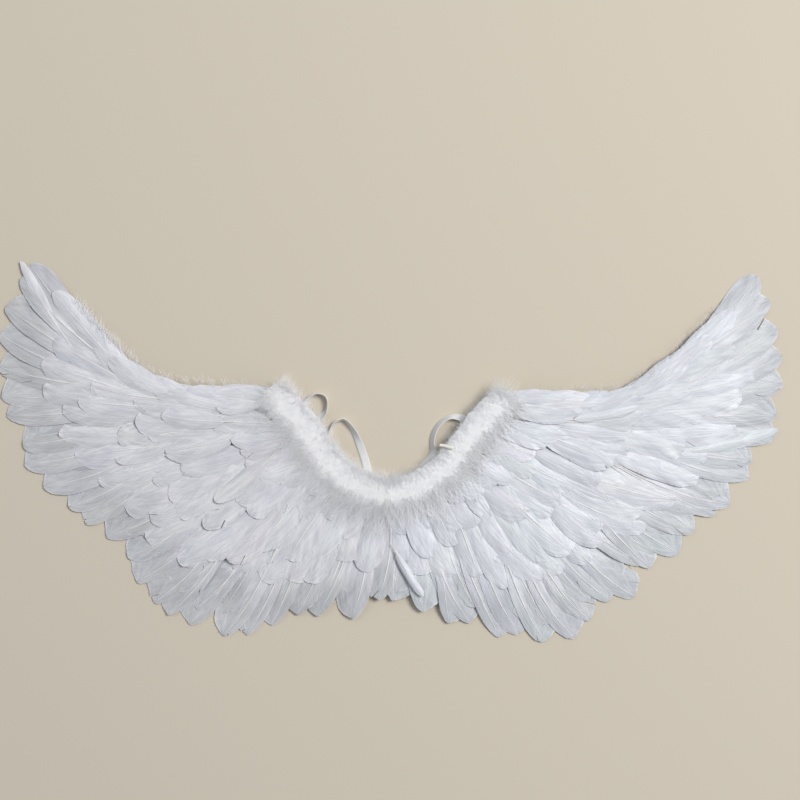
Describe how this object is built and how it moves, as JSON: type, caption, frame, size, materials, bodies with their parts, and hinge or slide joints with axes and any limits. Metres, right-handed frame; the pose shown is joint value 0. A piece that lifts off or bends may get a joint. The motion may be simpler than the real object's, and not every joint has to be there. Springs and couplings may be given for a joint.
{
  "type": "feathered costume wings",
  "caption": "White feathered angel-style costume wings with wire-framed folding sides, a fluffy neckline trim and elastic arm straps.",
  "frame": {"origin": "on the underside of the back pad, which rests on the wearer's back: on its centre line, 10.5 mm towards the neck from its middle", "axes": "+X along the span, +Y towards the wing tips and the wearer's head, +Z out of the feathered face"},
  "size_m": [0.7952, 0.3729, 0.0244],
  "materials": {
    "feather": "satin white feather vanes",
    "marabou": "fluffy white down",
    "felt": "matte white felt",
    "card": "matte white board",
    "steel": "drawn wire",
    "elastic": "woven white elastic"
  },
  "bodies": {
    "center": {"back_pad": "felt", "center_backing": "felt", "center_board": "card", "upper_center_wire": "steel", "lower_center_wire": "steel", "center_outer_feathers": "feather", "center_middle_feathers": "feather", "center_inner_feathers": "feather", "center_short_feathers": "feather", "center_neck_trim": "marabou", "left_upper_strap_patch": "felt", "left_lower_strap_patch": "felt", "right_upper_strap_patch": "felt", "right_lower_strap_patch": "felt"},
    "left_wing": {"left_wing_backing": "felt", "left_wing_board": "card", "left_frame_wire": "steel", "left_tip_feather_1": "feather", "left_tip_feather_2": "feather", "left_tip_feather_3": "feather", "left_tip_feather_4": "feather", "left_tip_feather_5": "feather", "left_tip_feather_6": "feather", "left_tip_feather_7": "feather", "left_outer_feathers": "feather", "left_middle_feathers": "feather", "left_inner_feathers": "feather", "left_short_feathers": "feather", "left_neck_trim": "marabou"},
    "right_wing": {"right_wing_backing": "felt", "right_wing_board": "card", "right_frame_wire": "steel", "right_tip_feather_1": "feather", "right_tip_feather_2": "feather", "right_tip_feather_3": "feather", "right_tip_feather_4": "feather", "right_tip_feather_5": "feather", "right_tip_feather_6": "feather", "right_tip_feather_7": "feather", "right_outer_feathers": "feather", "right_middle_feathers": "feather", "right_inner_feathers": "feather", "right_short_feathers": "feather", "right_neck_trim": "marabou"},
    "left_strap": {"left_arm_strap": "elastic"},
    "right_strap": {"right_arm_strap": "elastic"}
  },
  "joints": [
    {"name": "left_wing_bend", "type": "hinge", "parent": "center", "child": "left_wing", "pos_m": [-0.1, 0, 0.0049], "axis": [0, 1, 0], "range_deg": [-25, 50]},
    {"name": "right_wing_bend", "type": "hinge", "parent": "center", "child": "right_wing", "pos_m": [0.1, 0, 0.0049], "axis": [0, -1, 0], "range_deg": [-25, 50]},
    {"name": "left_strap_swing", "type": "hinge", "parent": "center", "child": "left_strap", "pos_m": [-0.016, 0.05, 0.0012], "axis": [-0.3053, -0.9522, 0], "range_deg": [0, 85]},
    {"name": "right_strap_swing", "type": "hinge", "parent": "center", "child": "right_strap", "pos_m": [0.0255, 0.05, 0.0012], "axis": [-0.2124, 0.9772, 0], "range_deg": [0, 85]}
  ]
}
